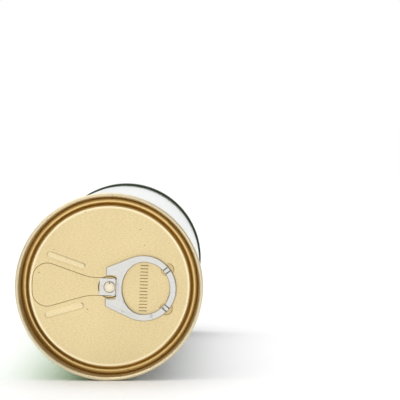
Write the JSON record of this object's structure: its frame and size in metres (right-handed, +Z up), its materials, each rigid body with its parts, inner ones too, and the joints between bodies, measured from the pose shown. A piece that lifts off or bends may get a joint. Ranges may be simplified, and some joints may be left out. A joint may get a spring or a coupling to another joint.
{
  "type": "tennis ball can",
  "caption": "Sheet-metal can lying on its side, with a ring-pull teardrop end, a push-on plastic cap and felt-covered balls inside.",
  "frame": {"origin": "on the surface that the can lies on, under the middle of its length and its axis", "axes": "+Y along the can from the ring-pull end to the cap, +Z up, +X from the rivet towards the pull ring"},
  "size_m": [0.0762, 0.2098, 0.0762],
  "materials": {
    "printed_white": "glossy white print with plain green bands",
    "gold_lacquer": "satin gold lacquer over rolled grain",
    "sealing_compound": "matt",
    "bare_aluminium": "satin, pressed",
    "green_plastic": "dark green, low gloss",
    "core_rubber": "moulded",
    "felt": "yellow-green napped felt",
    "seam_rubber": "pale, slightly glossy"
  },
  "bodies": {
    "can": {"can_body": "printed_white", "ring_pull_end": "gold_lacquer", "seam_compound": "sealing_compound"},
    "strip": {"tear_strip": "gold_lacquer", "tab_tongue": "bare_aluminium"},
    "ring": {"pull_ring": "bare_aluminium"},
    "ball_3": {"ball_3_core_half_a": "core_rubber", "ball_3_core_half_b": "core_rubber", "ball_3_felt_panel_a": "felt", "ball_3_felt_panel_b": "felt", "ball_3_seam": "seam_rubber"},
    "ball_2": {"ball_2_core_half_a": "core_rubber", "ball_2_core_half_b": "core_rubber", "ball_2_felt_panel_a": "felt", "ball_2_felt_panel_b": "felt", "ball_2_seam": "seam_rubber"},
    "ball_1": {"ball_1_core_half_a": "core_rubber", "ball_1_core_half_b": "core_rubber", "ball_1_felt_panel_a": "felt", "ball_1_felt_panel_b": "felt", "ball_1_seam": "seam_rubber"},
    "lid": {"cap": "green_plastic"}
  },
  "joints": [
    {"name": "strip_tear", "type": "hinge", "parent": "can", "child": "strip", "pos_m": [-0.03152, -0.09995, 0.03901], "axis": [-0.0384, 0, -0.9993], "range_deg": [0, 72]},
    {"name": "ring_lift", "type": "hinge", "parent": "strip", "child": "ring", "pos_m": [0.0035, -0.10119, 0.03767], "axis": [-0.0384, 0, -0.9993], "range_deg": [0, 90]},
    {"name": "ball_3_slide", "type": "slide", "parent": "can", "child": "ball_3", "axis": [0, 1, 0], "range_m": [0, 0.204]},
    {"name": "ball_2_slide", "type": "slide", "parent": "ball_3", "child": "ball_2", "axis": [0, 1, 0], "range_m": [0, 0.1375]},
    {"name": "ball_1_slide", "type": "slide", "parent": "ball_2", "child": "ball_1", "axis": [0, 1, 0], "range_m": [0, 0.0705]},
    {"name": "cap_slide", "type": "slide", "parent": "ball_1", "child": "lid", "axis": [0, 1, 0], "range_m": [0, 0.04]}
  ],
  "couplings": [
    {"joint": "strip_tear", "follows": "ring_lift", "ratio": 0.8}
  ]
}
